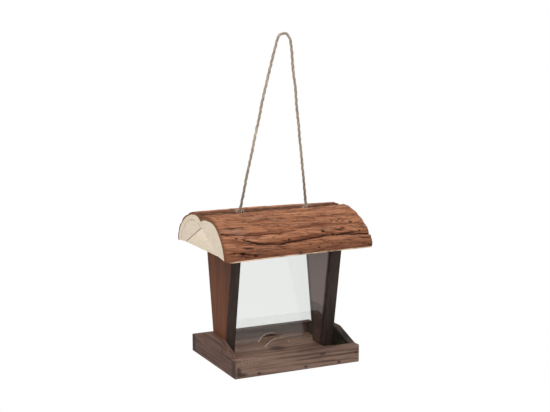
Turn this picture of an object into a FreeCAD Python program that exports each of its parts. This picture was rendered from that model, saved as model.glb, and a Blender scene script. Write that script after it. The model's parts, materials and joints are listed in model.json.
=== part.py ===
import FreeCAD, Part
import math
import os
import re

import Sketcher

# A hanging bird feeder: a low tray, a hopper of two wooden walls and two clear panels, a roof of two
# log slabs that lifts along the rope, and the rope itself. Millimetres, +Z up, +X along the ridge,
# -Y to the front. The origin is the middle of the tray's underside.

vector = FreeCAD.Vector

# Driving sizes: name, number, what it measures.
SIZES = [
    ("tray_length", 205, "tray, outside, along X"),
    ("tray_depth", 166, "tray, outside, along Y"),
    ("rim_height", 27, "front and rear rims, from the underside"),
    ("rim_thickness", 13, "front and rear rims"),
    ("side_rim_thickness", 11, "side rims"),
    ("side_rim_rise", 15.5, "raised middle of a side rim, above the other rims"),
    ("plateau_length", 50, "level top of the raised middle"),
    ("floor_thickness", 11, "tray floor"),
    ("wall_thickness", 16, "hopper walls"),
    ("wall_foot_width", 37, "hopper wall where it stands on the floor"),
    ("wall_top_width", 99, "hopper wall at its shoulders"),
    ("roof_length", 238, "slabs, along X"),
    ("eave_height", 180, "underside of the slabs' wood"),
    ("attic_rise", 30, "hollow under the slabs, at the ridge"),
    ("attic_half_span", 64, "hollow under the slabs, half its base"),
    ("roof_gap", 0.3, "upright clearance between wall tops and slabs"),
    ("front_log_radius", 72, "front slab, over its bark, before its ends' swell"),
    ("front_log_offset", 19, "front log's middle, in front of the ridge"),
    ("front_log_sink", 25, "front log's middle, below the eaves"),
    ("rear_log_radius", 70, "rear slab, over its bark, before its ends' swell"),
    ("rear_log_offset", 29, "rear log's middle, behind the ridge"),
    ("rear_log_sink", 21.5, "rear log's middle, below the eaves"),
    ("bark_thickness", 3.5, "bark"),
    ("bark_drop", 4, "bark, below the wood at the eaves"),
    ("front_droop", 4, "front bark, further below the wood at its left end"),
    ("bark_crest", 0.4, "plates of bark, over the slab's outline"),
    ("bark_furrow", 1.6, "deepest furrow between the plates, under the slab's outline"),
    ("front_lip", 2.4, "front bark, further out below its lowest furrow at the right end"),
    ("gable_block_thickness", 14, "gable blocks, along X"),
    ("panel_thickness", 2, "clear panels"),
    ("panel_setback", 7, "wall's edge to the middle of a panel, along Y"),
    ("seed_gap", 10, "floor to the foot of a panel"),
    ("panel_headroom", 10.5, "wall's shoulder down to the head of a panel"),
    ("groove_depth", 4, "panel grooves in the walls"),
    ("groove_gap", 0.3, "clearance round a panel in its groove"),
    ("arch_width", 43, "cut-out at the foot of a panel"),
    ("arch_rise", 12, "cut-out at the foot of a panel"),
    ("rope_diameter", 4, "rope"),
    ("roof_hole", 10, "rope holes in the ridge"),
    ("wall_hole", 5, "rope holes in the walls"),
    ("wall_hole_drop", 14, "ridge down to the rope holes in the walls"),
    ("knot_length", 10.4, "knots, along the rope"),
    ("knot_width", 11, "knots, across the rope"),
    ("knot_gap", 0.3, "wall to knot"),
    ("nail_diameter", 1.6, "nail shanks"),
    ("nail_head_diameter", 2.6, "nail heads"),
    ("nail_head_height", 1, "nail heads, sunk flush"),
    ("nail_gap", 0.05, "clearance round and under a nail"),
    ("rim_nail_length", 30, "nails through the front and rear rims"),
    ("rim_nail_height", 4.2, "nails into the floor's edge"),
    ("rim_nail_left", 64, "left floor nail, left of the middle"),
    ("rim_nail_middle", 12, "middle floor nail, right of the middle"),
    ("rim_nail_right", 68, "right floor nail, right of the middle"),
    ("corner_nail_height", 15.2, "nails into the side rims' ends"),
    ("side_nail_length", 22, "nails through the side rims into the walls"),
    ("side_nail_height", 35.8, "nails through the side rims"),
    ("side_nail_back", 6.3, "nails through the side rims, behind the middle"),
    ("floor_nail_length", 28, "nails up through the floor into the walls"),
    ("floor_nail_spread", 8, "floor nails, each side of the middle"),
    ("slab_nail_tip", 4, "tips of the slab nails, above the eaves"),
    ("slab_nail_ridge", 8, "upper slab nails, from the log's middle to the ridge"),
    ("slab_nail_eave", 14, "lower slab nails, from the log's middle to the eave"),
]

# Sizes worked out from the driving ones.
WORKED_OUT = [
    ("half_length", "tray_length / 2"),
    ("half_depth", "tray_depth / 2"),
    ("inner_length", "half_length - side_rim_thickness"),
    ("inner_depth", "half_depth - rim_thickness"),
    ("wall_face", "inner_length - wall_thickness"),
    ("ridge_height", "eave_height + attic_rise"),
    ("attic_slope", "attic_rise / attic_half_span"),
    ("wall_peak", "ridge_height - roof_gap"),
    ("shoulder_height", "wall_peak - attic_slope * wall_top_width / 2"),
    ("wall_lean", "(wall_top_width - wall_foot_width) / 2 / (shoulder_height - floor_thickness)"),
    ("lean_stretch", "sqrt(1 + wall_lean ^ 2)"),
    ("panel_line", "wall_foot_width / 2 - panel_setback - wall_lean * floor_thickness"),
    ("panel_foot", "floor_thickness + seed_gap"),
    ("panel_head", "shoulder_height - panel_headroom"),
    ("panel_half", "panel_thickness / 2 * lean_stretch"),
    ("groove_half", "(panel_thickness / 2 + groove_gap) * lean_stretch"),
    ("arch_radius", "(arch_width ^ 2 / 4 + arch_rise ^ 2) / (2 * arch_rise)"),
    ("arch_centre", "panel_foot + arch_rise - arch_radius"),
    ("front_log_height", "eave_height - front_log_sink"),
    ("rear_log_height", "eave_height - rear_log_sink"),
    ("wall_hole_height", "ridge_height - wall_hole_drop"),
    ("front_seam_angle", "-asin(front_log_offset / front_log_radius) / 1 deg"),
    ("front_eave_angle", "acos((front_log_sink - bark_drop) / front_log_radius) / 1 deg"),
    ("rear_seam_angle", "-asin(rear_log_offset / rear_log_radius) / 1 deg"),
    ("rear_eave_angle", "acos((rear_log_sink - bark_drop) / rear_log_radius) / 1 deg"),
    ("roof_half", "roof_length / 2"),
    ("block_middle", "roof_half - gable_block_thickness / 2"),
    ("corner_nail_side", "half_length - side_rim_thickness / 2"),
    ("nail_bore", "nail_diameter / 2 + nail_gap"),
    ("nail_head_bore", "nail_head_diameter / 2 + nail_gap"),
]

# How far the slabs' outlines stand over the round of their logs at the left and right ends of the roof, as
# shares of the log's radius, at even steps from the seam at the ridge to the eave.
SWELL_SHARES = {
    "front": ((0.02, 0.035, 0.045, 0.043, 0.03, 0), (0.055, -0.02, -0.055, -0.053, -0.005, -0.012)),
    "rear": ((-0.008, 0.007, -0.013, -0.01, 0.014, -0.012), (-0.025, -0.023, -0.025, -0.027, -0.012, -0.015)),
}
# The bark's furrows: the share of the deepest one's depth, and shares of the way from the seam to the eave at
# even steps from the left end of the roof to the right one.
FURROW_SHARES = {
    "front": (
        (0.3, (0.17, 0.2, 0.18, 0.21, 0.22)),
        (0.3, (0.41, 0.43, 0.4, 0.38, 0.41)),
        (0.6, (0.64, 0.7, 0.64, 0.58, 0.6)),
        (1, (0.73, 0.83, 0.81, 0.75, 0.78)),
    ),
    "rear": (
        (0.4, (0.22, 0.2, 0.24, 0.22, 0.23)),
        (0.8, (0.47, 0.51, 0.46, 0.49, 0.46)),
        (0.7, (0.72, 0.73, 0.76, 0.72, 0.74)),
        (0.4, (0.88, 0.88, 0.86, 0.88, 0.89)),
    ),
}
# A plate of bark rises over this share of its width from each furrow.
SHOULDER_SHARE = 0.3
# What is left of the front bark's lip at the plate's first and second shoulders and at the eave.
LIP_SHARES = (1, 0.65, 0.4)
# Straight strips that make up the round of a slab's wood.
ROUND_STRIPS = 8

# The rope's route in the plane of the ridge, as X and the height above the ridge of the hollow. It comes
# up through the left hole of the roof, bears on whatever it hangs from and goes down through the right
# hole.
LEFT_HOLE = (-59.8, 7)
RIGHT_HOLE = (55.2, 7)
ROPE_LOOP = [LEFT_HOLE, (-19.5, 184), (7.2, 281.4), (23.9, 281.8), RIGHT_HOLE]
# A bend of the rope takes up this share of the shorter run beside it.
BEND_SHARE = 0.45

doc = FreeCAD.newDocument("BirdFeeder")
sheet = doc.addObject("Spreadsheet::Sheet", "Sizes")
for row, (alias, size, meaning) in enumerate(SIZES, start=1):
    sheet.set(f"A{row}", meaning)
    sheet.set(f"B{row}", str(size))
    sheet.setAlias(f"B{row}", alias)
for row, (alias, formula) in enumerate(WORKED_OUT, start=1):
    sheet.set(f"C{row}", f"={formula}")
    sheet.setAlias(f"C{row}", alias)
doc.recompute()
NAMES = {entry[0] for entry in SIZES + WORKED_OUT}


def tied(expression):
    """The expression with each size's name pointing at its cell."""
    return re.sub(r"[a-z]\w*", lambda m: f"Sizes.{m[0]}" if m[0] in NAMES else m[0], expression)


def number(expression):
    """What an expression of the sizes comes to."""
    return float(sheet.evalExpression(tied(expression)))


def fix(sketch, kind, *where, to):
    """Adds a constraint whose value is an expression of the sizes."""
    index = sketch.addConstraint(Sketcher.Constraint(kind, *where, number(to)))
    sketch.setExpression(f"Constraints[{index}]", tied(to))


def new_body(label):
    """An empty body with its node's name."""
    body = doc.addObject("PartDesign::Body", label)
    body.Label = label
    return body


def new_sketch(body, plane, offset=None):
    """A sketch on one of the body's own origin planes, moved along the plane's normal by offset."""
    sketch = body.newObject("Sketcher::SketchObject", f"{body.Label}_sketch")
    support = next(f for f in body.Origin.OriginFeatures if f.Role == plane)
    sketch.AttachmentSupport = [(support, "")]
    sketch.MapMode = "FlatFace"
    if offset:
        sketch.setExpression("AttachmentOffset.Base.z", tied(offset))
    return sketch


def draw_outline(sketch, corners):
    """A closed outline through corners, which are pairs of expressions."""
    points = [vector(number(x), number(y), 0) for x, y in corners]
    for start, stop in zip(points, points[1:] + points[:1]):
        sketch.addGeometry(Part.LineSegment(start, stop))
    for i, (x, y) in enumerate(corners):
        before = i - 1 if i else len(corners) - 1
        sketch.addConstraint(Sketcher.Constraint("Coincident", before, 2, i, 1))
        fix(sketch, "DistanceX", i, 1, to=x)
        fix(sketch, "DistanceY", i, 1, to=y)


def draw_circles(sketch, spots, radius):
    """Circles of one radius about spots, which are pairs of expressions."""
    for i, (x, y) in enumerate(spots):
        middle = vector(number(x), number(y), 0)
        sketch.addGeometry(Part.Circle(middle, vector(0, 0, 1), number(radius)))
        fix(sketch, "DistanceX", i, 3, to=x)
        fix(sketch, "DistanceY", i, 3, to=y)
        fix(sketch, "Radius", i, to=radius)


def add_pad(body, sketch, length, side="One side", backwards=False):
    """Pads the sketch along its normal, against it or to both sides."""
    pad = body.newObject("PartDesign::Pad", f"{body.Label}_pad")
    pad.Profile = sketch
    pad.SideType = side
    pad.Reversed = backwards
    pad.setExpression("Length", tied(length))
    doc.recompute()


def add_pocket(body, sketch, length=None, along_normal=True):
    """Cuts the sketch into the body, right through where no length is given."""
    volume = body.Shape.Volume
    pocket = body.newObject("PartDesign::Pocket", f"{body.Label}_pocket")
    pocket.Profile = sketch
    pocket.Reversed = along_normal
    if length:
        pocket.setExpression("Length", tied(length))
    else:
        pocket.Type = "ThroughAll"
    doc.recompute()
    if body.Shape.Volume >= volume:
        raise RuntimeError(f"a pocket of {body.Label} cuts nothing")


def drill(body, plane, spots, radius, start=None, length=None, along_normal=True):
    """Round holes in the body about spots of a plane, from start and as long as length."""
    sketch = new_sketch(body, plane, start)
    draw_circles(sketch, spots, radius)
    add_pocket(body, sketch, length, along_normal)


def make_board(label, plane, corners, start, thickness):
    """A flat board: an outline in a plane, padded along its normal from start."""
    body = new_body(label)
    sketch = new_sketch(body, plane, start)
    draw_outline(sketch, corners)
    add_pad(body, sketch, thickness)
    return body


def drill_for_nails(body, plane, spots, face, length, along_normal):
    """Bores for nails that start flush with a face, with room for their sunk heads."""
    drill(body, plane, spots, "nail_bore", face, f"{length} + nail_gap", along_normal)
    drill(body, plane, spots, "nail_head_bore", face, "nail_head_height + nail_gap", along_normal)


def make_nails(body, plane, spots, face, length, along_normal):
    """Nails driven from a face: shanks with wider heads, flush with the face."""
    for radius, reach in (("nail_diameter / 2", length), ("nail_head_diameter / 2", "nail_head_height")):
        sketch = new_sketch(body, plane, face)
        draw_circles(sketch, spots, radius)
        add_pad(body, sketch, reach, backwards=not along_normal)


# Where the nails of one long rim stand, as X and Z.
FLOOR_EDGE_NAILS = [
    ("-rim_nail_left", "rim_nail_height"),
    ("rim_nail_middle", "rim_nail_height"),
    ("rim_nail_right", "rim_nail_height"),
]
CORNER_NAILS = [("-corner_nail_side", "corner_nail_height"), ("corner_nail_side", "corner_nail_height")]
RIM_NAILS = FLOOR_EDGE_NAILS + CORNER_NAILS
SIDE_NAIL = [("side_nail_back", "side_nail_height")]


def floor_nail_spots(sides):
    """Where the nails under the walls stand, as X and Y."""
    middle = "(wall_face + wall_thickness / 2)"
    return [(f"{s} * {middle}", f"{t} * floor_nail_spread") for s in sides for t in (-1, 1)]


def make_tray():
    """The floor and the four rims round it."""
    floor = make_board(
        "tray_floor",
        "XY_Plane",
        [
            ("-inner_length", "-inner_depth"),
            ("inner_length", "-inner_depth"),
            ("inner_length", "inner_depth"),
            ("-inner_length", "inner_depth"),
        ],
        None,
        "floor_thickness",
    )
    # The plane's normal points to the front, so positions along it are minus Y.
    reach = "rim_nail_length - rim_thickness + nail_gap"
    drill(floor, "XZ_Plane", FLOOR_EDGE_NAILS, "nail_bore", "inner_depth", reach, False)
    drill(floor, "XZ_Plane", FLOOR_EDGE_NAILS, "nail_bore", "-inner_depth", reach, True)
    drill_for_nails(floor, "XY_Plane", floor_nail_spots((-1, 1)), None, "floor_nail_length", True)

    rim = [
        ("-half_length", "0"),
        ("half_length", "0"),
        ("half_length", "rim_height"),
        ("-half_length", "rim_height"),
    ]
    front = make_board("front_rim", "XZ_Plane", rim, "inner_depth", "rim_thickness")
    drill_for_nails(front, "XZ_Plane", RIM_NAILS, "half_depth", "rim_nail_length", False)
    rear = make_board("rear_rim", "XZ_Plane", rim, "-half_depth", "rim_thickness")
    drill_for_nails(rear, "XZ_Plane", RIM_NAILS, "-half_depth", "rim_nail_length", True)

    side_rim = [
        ("-inner_depth", "0"),
        ("inner_depth", "0"),
        ("inner_depth", "rim_height"),
        ("plateau_length / 2", "rim_height + side_rim_rise"),
        ("-plateau_length / 2", "rim_height + side_rim_rise"),
        ("-inner_depth", "rim_height"),
    ]
    ends = {"left_rim": ("-half_length", 0), "right_rim": ("inner_length", 1)}
    for label, (start, right) in ends.items():
        body = make_board(label, "YZ_Plane", side_rim, start, "side_rim_thickness")
        corner = [CORNER_NAILS[right]]
        drill(body, "XZ_Plane", corner, "nail_bore", "inner_depth", reach, False)
        drill(body, "XZ_Plane", corner, "nail_bore", "-inner_depth", reach, True)
        face = "half_length" if right else "-half_length"
        drill_for_nails(body, "YZ_Plane", SIDE_NAIL, face, "side_nail_length", not right)


def slanted(line, half, side, low, high):
    """The four corners of a strip that leans with the walls' edges, on the front (-1) or rear (1)."""
    def at(height, shift):
        return f"{side} * ({line} + wall_lean * {height} + {shift} * {half})", height

    return [at(low, -1), at(low, 1), at(high, 1), at(high, -1)]


def make_walls():
    """The two hopper walls, peaked to carry the roof, with grooves for the panels and rope holes."""
    profile = [
        ("-wall_foot_width / 2", "floor_thickness"),
        ("wall_foot_width / 2", "floor_thickness"),
        ("wall_top_width / 2", "shoulder_height"),
        ("0", "wall_peak"),
        ("-wall_top_width / 2", "shoulder_height"),
    ]
    for label, start, side in (("left_wall", "-inner_length", -1), ("right_wall", "wall_face", 1)):
        body = make_board(label, "YZ_Plane", profile, start, "wall_thickness")
        for panel in (-1, 1):
            groove = new_sketch(body, "YZ_Plane", f"{side} * wall_face")
            strip = slanted("panel_line", "groove_half", panel, "(panel_foot - groove_gap)", "wall_peak")
            draw_outline(groove, strip)
            add_pocket(body, groove, "groove_depth", side > 0)
        drill(body, "YZ_Plane", [("0", "wall_hole_height")], "wall_hole / 2", f"{side} * wall_face",
              "wall_thickness", side > 0)
        depth = "side_nail_length - side_rim_thickness + nail_gap"
        drill(body, "YZ_Plane", SIDE_NAIL, "nail_bore", f"{side} * inner_length", depth, side < 0)
        depth = "floor_nail_length - floor_thickness + nail_gap"
        drill(body, "XY_Plane", floor_nail_spots((side,)), "nail_bore", "floor_thickness", depth)


def make_panels():
    """The clear panels: plates that lean with the walls' edges, arched at the foot."""
    for label, side in (("front_panel", -1), ("rear_panel", 1)):
        body = new_body(label)
        section = new_sketch(body, "YZ_Plane")
        draw_outline(section, slanted("panel_line", "panel_half", side, "panel_foot", "panel_head"))
        add_pad(body, section, "2 * (wall_face + groove_depth - groove_gap)", "Symmetric")
        drill(body, "XZ_Plane", [("0", "arch_centre")], "arch_radius", along_normal=side < 0)


def make_nail_groups():
    """Each rim's and the floor's nails, every group in one node."""
    make_nails(new_body("front_rim_nails"), "XZ_Plane", RIM_NAILS, "half_depth", "rim_nail_length", False)
    make_nails(new_body("rear_rim_nails"), "XZ_Plane", RIM_NAILS, "-half_depth", "rim_nail_length", True)
    make_nails(new_body("left_rim_nail"), "YZ_Plane", SIDE_NAIL, "-half_length", "side_nail_length", True)
    make_nails(new_body("right_rim_nail"), "YZ_Plane", SIDE_NAIL, "half_length", "side_nail_length", False)
    spots = floor_nail_spots((-1, 1))
    make_nails(new_body("floor_nails"), "XY_Plane", spots, None, "floor_nail_length", True)


def make_loft(label, sections):
    """A body that runs straight from outline to outline, each given as X and corners."""
    body = new_body(label)
    sketches = []
    for start, corners in sections:
        sketch = new_sketch(body, "YZ_Plane", start)
        draw_outline(sketch, corners)
        sketches.append(sketch)
    doc.recompute()
    loft = body.newObject("PartDesign::AdditiveLoft", f"{label}_loft")
    loft.Profile = sketches[0]
    loft.Sections = sketches[1:]
    loft.Ruled = True
    doc.recompute()
    return body


def between(values, share):
    """The value at a share of the way along evenly spaced values."""
    place = min(max(share, 0), 1) * (len(values) - 1)
    first = min(int(place), len(values) - 2)
    return values[first] + (values[first + 1] - values[first]) * (place - first)


def slab_angle(log, way):
    """The angle from the log's top toward the eave, at a share of the way from the seam to the eave."""
    return f"({log}_seam_angle + ({log}_eave_angle - {log}_seam_angle) * {way:.4f})"


def slab_radius(log, along, way, rise):
    """The slab's radius at a share of the roof's length and of the way to the eave, raised by rise."""
    left, right = [between(end, way) for end in SWELL_SHARES[log]]
    swell = left + (right - left) * along
    return f"({log}_log_radius * {1 + swell:.5f} + {rise})"


def slab_corner(log, side, along, way, rise):
    """A corner of a slab's outline."""
    radius, angle = slab_radius(log, along, way, rise), slab_angle(log, way)
    across = f"{side} * ({log}_log_offset + {radius} * sin({angle}))"
    return (across, f"{log}_log_height + {radius} * cos({angle})")


def seam_corner(log, along, rise):
    """Where a slab's outline meets the plane of the ridge."""
    return ("0", f"{log}_log_height + sqrt({slab_radius(log, along, 0, rise)} ^ 2 - {log}_log_offset ^ 2)")


def eave_corner(log, side, along, height, rise):
    """Where a slab's outline comes down to a height at the eave."""
    across = f"sqrt({slab_radius(log, along, 1, rise)} ^ 2 - ({height} - {log}_log_height) ^ 2)"
    return (f"{side} * ({log}_log_offset + {across})", height)


def wood_round(log, side, along):
    """The round of a slab's wood, from the eave to the seam."""
    corners = [eave_corner(log, side, along, "eave_height", "-bark_thickness")]
    for strip in range(ROUND_STRIPS - 1, 0, -1):
        corners.append(slab_corner(log, side, along, strip / ROUND_STRIPS, "-bark_thickness"))
    corners.append(seam_corner(log, along, "-bark_thickness"))
    return corners


def bark_face(log, side, along, foot):
    """The bark's plates and furrows, from the seam to the foot of the bark."""
    corners = [seam_corner(log, along, "0")]
    lip = f"front_lip * {along}" if log == "front" else "0"
    furrows = FURROW_SHARES[log]
    ends = [0, *[between(line, along) for _, line in furrows], 1]
    for plate, (start, stop) in enumerate(zip(ends, ends[1:])):
        lowest = plate == len(furrows)
        for share, fade in zip((SHOULDER_SHARE, 1 - SHOULDER_SHARE), LIP_SHARES):
            rise = f"bark_crest + {lip} * {fade}" if lowest else "bark_crest"
            corners.append(slab_corner(log, side, along, start + (stop - start) * share, rise))
        if not lowest:
            corners.append(slab_corner(log, side, along, stop, f"-bark_furrow * {furrows[plate][0]}"))
    corners.append(eave_corner(log, side, along, foot, f"{lip} * {LIP_SHARES[2]}"))
    return corners


def slab_nails(log, side, end):
    """A slab's nails at the left (-1) or right (1) end: each one's middle as X and Y, and its head's height."""
    nails = []
    along = (1 + end * number("block_middle / roof_half")) / 2
    first, last = number(f"{log}_seam_angle"), number(f"{log}_eave_angle")
    for across in ("-slab_nail_ridge", "slab_nail_eave"):
        angle = number(f"asin(({across}) / {log}_log_radius) / 1 deg")
        radius = slab_radius(log, along, (angle - first) / (last - first), "0")
        head = f"{log}_log_height + sqrt({radius} ^ 2 - ({across}) ^ 2) - bark_thickness / 2"
        nails.append(((f"{end} * block_middle", f"{side} * ({log}_log_offset + {across})"), head))
    return nails


def make_slab(log, side):
    """One half of the roof: a log slab whose sawn face leans on the gable blocks, and its bark."""
    wood_sections, bark_sections = [], []
    steps = len(FURROW_SHARES[log][0][1]) - 1
    for step in range(steps + 1):
        along = step / steps
        x = f"{2 * along - 1} * roof_half"
        inside = wood_round(log, side, along)
        attic = [("0", "ridge_height"), (f"{side} * attic_half_span", "eave_height")]
        wood_sections.append((x, attic + inside))
        foot = "eave_height - bark_drop"
        if log == "front":
            foot += f" - front_droop * {(1 - along) ** 2}"
        hem = eave_corner(log, side, along, foot, "-bark_thickness")
        bark_sections.append((x, bark_face(log, side, along, foot) + [hem] + inside))
    wood = make_loft(f"{log}_slab_wood", wood_sections)
    bark = make_loft(f"{log}_slab_bark", bark_sections)
    nails = new_body(f"{log}_slab_nails")
    holes = [(str(LEFT_HOLE[0]), "0"), (str(RIGHT_HOLE[0]), "0")]
    for body in (wood, bark):
        drill(body, "XY_Plane", holes, "roof_hole / 2")
    for end in (-1, 1):
        for spot, head in slab_nails(log, side, end):
            length = f"{head} - eave_height - slab_nail_tip"
            make_nails(nails, "XY_Plane", [spot], head, length, False)
            drill(bark, "XY_Plane", [spot], "nail_head_bore")
            drill(wood, "XY_Plane", [spot], "nail_bore")


def make_gable_blocks():
    """The triangular blocks under the ends of the slabs."""
    triangle = [
        ("-attic_half_span", "eave_height"),
        ("attic_half_span", "eave_height"),
        ("0", "ridge_height"),
    ]
    starts = {"left_gable_block": "-roof_half", "right_gable_block": "roof_half - gable_block_thickness"}
    for side, (label, start) in zip((-1, 1), starts.items()):
        body = make_board(label, "YZ_Plane", triangle, start, "gable_block_thickness")
        for log, lean in (("front", -1), ("rear", 1)):
            spots = [spot for spot, _ in slab_nails(log, lean, side)]
            drill(body, "XY_Plane", spots, "nail_bore", "eave_height + slab_nail_tip - nail_gap")


def rounded_path(points):
    """Straight runs joined by tangent arcs, each as large as the runs beside it allow."""
    edges = []
    last = points[0]
    for before, corner, after in zip(points, points[1:], points[2:]):
        back, on = (before - corner).normalize(), (after - corner).normalize()
        half_turn = (math.pi - back.getAngle(on)) / 2
        shorter = min((before - corner).Length, (after - corner).Length)
        tangent = BEND_SHARE * shorter
        radius = tangent / math.tan(half_turn)
        print(f"  bend of radius {radius:.1f}")
        inward = (back + on).normalize()
        enter, leave = corner + back * tangent, corner + on * tangent
        deep = corner + inward * (radius / math.cos(half_turn) - radius)
        edges.append(Part.makeLine(last, enter))
        edges.append(Part.Arc(enter, deep, leave).toShape())
        last = leave
    edges.append(Part.makeLine(last, points[-1]))
    return Part.Wire(edges)


def make_tube(label, route):
    """A rope along a route in the plane of the ridge, of X and heights above the ridge."""
    print(label)
    ridge = number("ridge_height")
    path = rounded_path([vector(x, 0, ridge + rise) for x, rise in route])
    start = path.Edges[0]
    radius = number("rope_diameter") / 2
    heading = start.tangentAt(start.FirstParameter)
    ring = Part.Wire(Part.makeCircle(radius, start.firstVertex().Point, heading))
    solid = path.makePipeShell([ring], True, False)
    wanted = math.pi * radius ** 2 * path.Length
    print(f"  length {path.Length:.1f}, volume {solid.Volume:.1f}, section times length {wanted:.1f}")
    rope = doc.addObject("Part::Feature", label)
    rope.Label = label
    rope.Shape = solid
    rope.Placement = FreeCAD.Placement()


def make_rope():
    """The loop above the roof, and the tails from its holes to the knots outside the walls."""
    make_tube("rope_loop", ROPE_LOOP)
    drop = number("wall_hole_drop")
    knot = number("inner_length + knot_gap + knot_length / 2")
    for label, side, hole, beyond in (
        ("left", -1, LEFT_HOLE, ROPE_LOOP[1]),
        ("right", 1, RIGHT_HOLE, ROPE_LOOP[-2]),
    ):
        # The tail carries on along the loop's leg until it is level with the hole in the wall.
        lean = (beyond[0] - hole[0]) / (beyond[1] - hole[1])
        turn = (hole[0] - lean * (hole[1] + drop), -drop)
        make_tube(f"{label}_rope_tail", [(side * knot, -drop), turn, hole])
        ball = doc.addObject("Part::Ellipsoid", f"{label}_knot_ball")
        ball.setExpression("Radius1", tied("knot_width / 2"))
        ball.setExpression("Radius2", tied("knot_length / 2"))
        ball.setExpression("Radius3", tied("knot_width / 2"))
        ball.setExpression("Placement.Base.x", tied(f"{side} * (inner_length + knot_gap + knot_length / 2)"))
        ball.setExpression("Placement.Base.z", tied("wall_hole_height"))
        knotted = doc.addObject("Part::Cut", f"{label}_knot")
        knotted.Label = f"{label}_knot"
        knotted.Base = ball
        knotted.Tool = doc.getObject(f"{label}_rope_tail")


NODES = [
    "tray_floor", "front_rim", "rear_rim", "left_rim", "right_rim",
    "left_wall", "right_wall", "front_panel", "rear_panel",
    "front_rim_nails", "rear_rim_nails", "left_rim_nail", "right_rim_nail", "floor_nails",
    "front_slab_wood", "front_slab_bark", "front_slab_nails",
    "rear_slab_wood", "rear_slab_bark", "rear_slab_nails",
    "left_gable_block", "right_gable_block",
    "rope_loop", "left_rope_tail", "right_rope_tail", "left_knot", "right_knot",
]


def write_parts():
    """Checks every object and writes each node's solids to its own file."""
    doc.recompute()
    for thing in doc.Objects:
        if "Invalid" in thing.State or "Error" in thing.State:
            raise RuntimeError(f"{thing.Label} is {thing.State}")
    os.makedirs("parts", exist_ok=True)
    for label in NODES:
        shape = doc.getObjectsByLabel(label)[0].Shape
        if shape.isNull() or not shape.isValid() or not shape.Solids:
            raise RuntimeError(f"{label} has no valid solid")
        shape.exportStep(f"parts/{label}.step")
        print(f"{label}: {len(shape.Solids)} solids, {shape.Volume:.1f} mm3")


make_tray()
make_walls()
make_panels()
make_nail_groups()
make_slab("front", -1)
make_slab("rear", 1)
make_gable_blocks()
make_rope()
write_parts()
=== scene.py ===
"""A hanging bird feeder: its boards, bark, clear panels and rope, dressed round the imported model."""

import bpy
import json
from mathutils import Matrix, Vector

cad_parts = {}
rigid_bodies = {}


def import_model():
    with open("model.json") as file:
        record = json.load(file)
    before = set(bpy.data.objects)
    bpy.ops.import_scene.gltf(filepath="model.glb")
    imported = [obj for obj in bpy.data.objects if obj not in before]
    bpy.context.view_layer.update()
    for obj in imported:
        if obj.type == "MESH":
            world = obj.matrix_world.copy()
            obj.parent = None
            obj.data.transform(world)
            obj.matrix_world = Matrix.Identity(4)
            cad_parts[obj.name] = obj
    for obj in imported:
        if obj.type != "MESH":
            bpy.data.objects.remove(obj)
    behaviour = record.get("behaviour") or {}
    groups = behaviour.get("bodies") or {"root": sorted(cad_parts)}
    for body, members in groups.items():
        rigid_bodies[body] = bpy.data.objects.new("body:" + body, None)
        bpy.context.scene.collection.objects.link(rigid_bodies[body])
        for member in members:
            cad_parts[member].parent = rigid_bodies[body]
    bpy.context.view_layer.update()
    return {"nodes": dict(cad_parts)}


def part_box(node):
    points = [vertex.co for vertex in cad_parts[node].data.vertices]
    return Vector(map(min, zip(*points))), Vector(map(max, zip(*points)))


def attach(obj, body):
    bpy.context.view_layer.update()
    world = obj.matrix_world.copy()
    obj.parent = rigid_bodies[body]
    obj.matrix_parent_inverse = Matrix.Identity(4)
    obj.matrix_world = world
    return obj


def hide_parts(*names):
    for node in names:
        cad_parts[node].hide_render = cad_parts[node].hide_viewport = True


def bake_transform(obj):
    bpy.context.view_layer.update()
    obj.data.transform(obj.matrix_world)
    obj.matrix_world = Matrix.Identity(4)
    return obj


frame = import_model()

import json
import math
import random
from typing import NamedTuple

import bpy
import numpy as np
from mathutils import Vector, noise

bl_info = {
    "name": "Log-roof bird feeder",
    "version": (1, 0, 0),
    "blender": (4, 5, 0),
    "location": "View3D > Sidebar > Feeder",
    "description": "Dresses a hanging bird feeder with bark, boards, clear panels and jute rope",
    "category": "Add Mesh",
}

MM = 0.001
NODES = frame["nodes"]
# The panels' lines: how far from the middle at the tray's underside, and how much farther for each length up.
PANEL_LINE = 9.56 * MM
WALL_LEAN = 0.1766
# The walls' inner faces, from the middle.
INNER_FACE = 75.5 * MM
# A pattern's size along an axis on which it doesn't change, in millimetres.
ENDLESS = 1e6
# How much clear acrylic bends light.
ACRYLIC_INDEX = 1.49


def srgb(red, green, blue):
    """A colour as it shows on a screen, from 0 to 255, as the linear numbers that shaders take."""
    shares = [part / 255 for part in (red, green, blue)]
    return tuple(s / 12.92 if s <= 0.04045 else ((s + 0.055) / 1.055) ** 2.4 for s in shares)


def colour(label, words, red, green, blue):
    """A colour that a user can change."""
    return bpy.props.FloatVectorProperty(
        name=label,
        description=words,
        subtype="COLOR",
        size=3,
        min=0,
        max=1,
        default=srgb(red, green, blue),
    )


def length(label, words, millimetres):
    """A size that a user can change."""
    return bpy.props.FloatProperty(name=label, description=words, default=millimetres * MM, unit="LENGTH")


def whole(label, words, number):
    """A whole number that a user can change."""
    return bpy.props.IntProperty(name=label, description=words, default=number)


def power(label, words, watts):
    """A lamp's power that a user can change."""
    return bpy.props.FloatProperty(name=label, description=words, default=watts, unit="POWER")


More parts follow.
